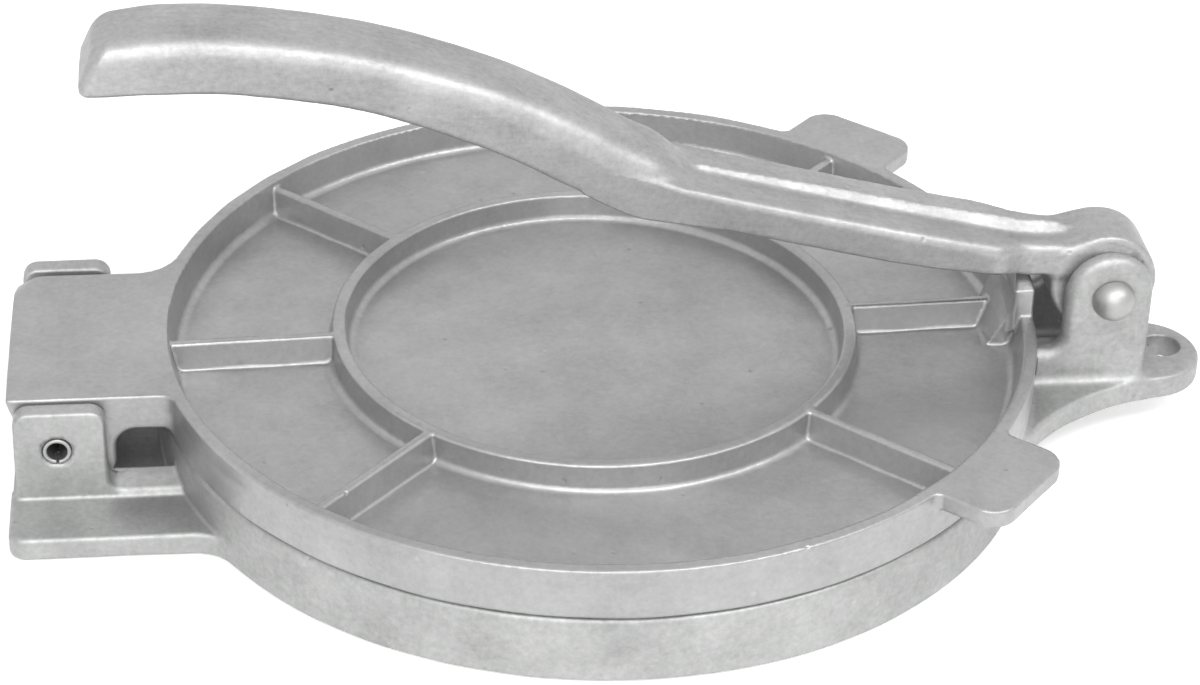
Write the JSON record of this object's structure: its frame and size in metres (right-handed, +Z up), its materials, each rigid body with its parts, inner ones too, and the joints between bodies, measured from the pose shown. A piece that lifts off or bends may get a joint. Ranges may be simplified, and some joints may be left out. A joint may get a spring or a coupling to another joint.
{
  "type": "tortilla press",
  "caption": "Cast aluminium tortilla press: a hinged ribbed plate closes on a round base and a long curved lever presses it down.",
  "frame": {"origin": "centre of the pressing discs, on the table", "axes": "+X from the plate hinge to the lever clevis, +Y across the discs away from the camera side, +Z up"},
  "size_m": [0.281, 0.205, 0.1092],
  "materials": {
    "base_cast": "bare tumbled casting, satin",
    "plate_cast": "bare tumbled casting, satin",
    "lever_cast": "bare casting, brushed on its sides",
    "spring_steel": "plain spring steel",
    "rivet_metal": "bright domed head"
  },
  "bodies": {
    "base": {"base_casting": "base_cast", "hinge_pin_near": "spring_steel", "hinge_pin_far": "spring_steel", "lever_rivet": "rivet_metal"},
    "plate": {"top_plate": "plate_cast"},
    "lever": {"lever": "lever_cast"}
  },
  "joints": [
    {"name": "lever_swing", "type": "hinge", "parent": "base", "child": "lever", "pos_m": [0.1192, 0, 0.0358], "axis": [0, 1, 0], "range_deg": [0, 165]},
    {"name": "plate_hinge", "type": "hinge", "parent": "base", "child": "plate", "pos_m": [-0.1245, 0, 0.018], "axis": [0, -1, 0], "range_deg": [0, 105]}
  ],
  "couplings": [
    {"joint": "plate_hinge", "follows": "lever_swing", "ratio": 0.075}
  ]
}
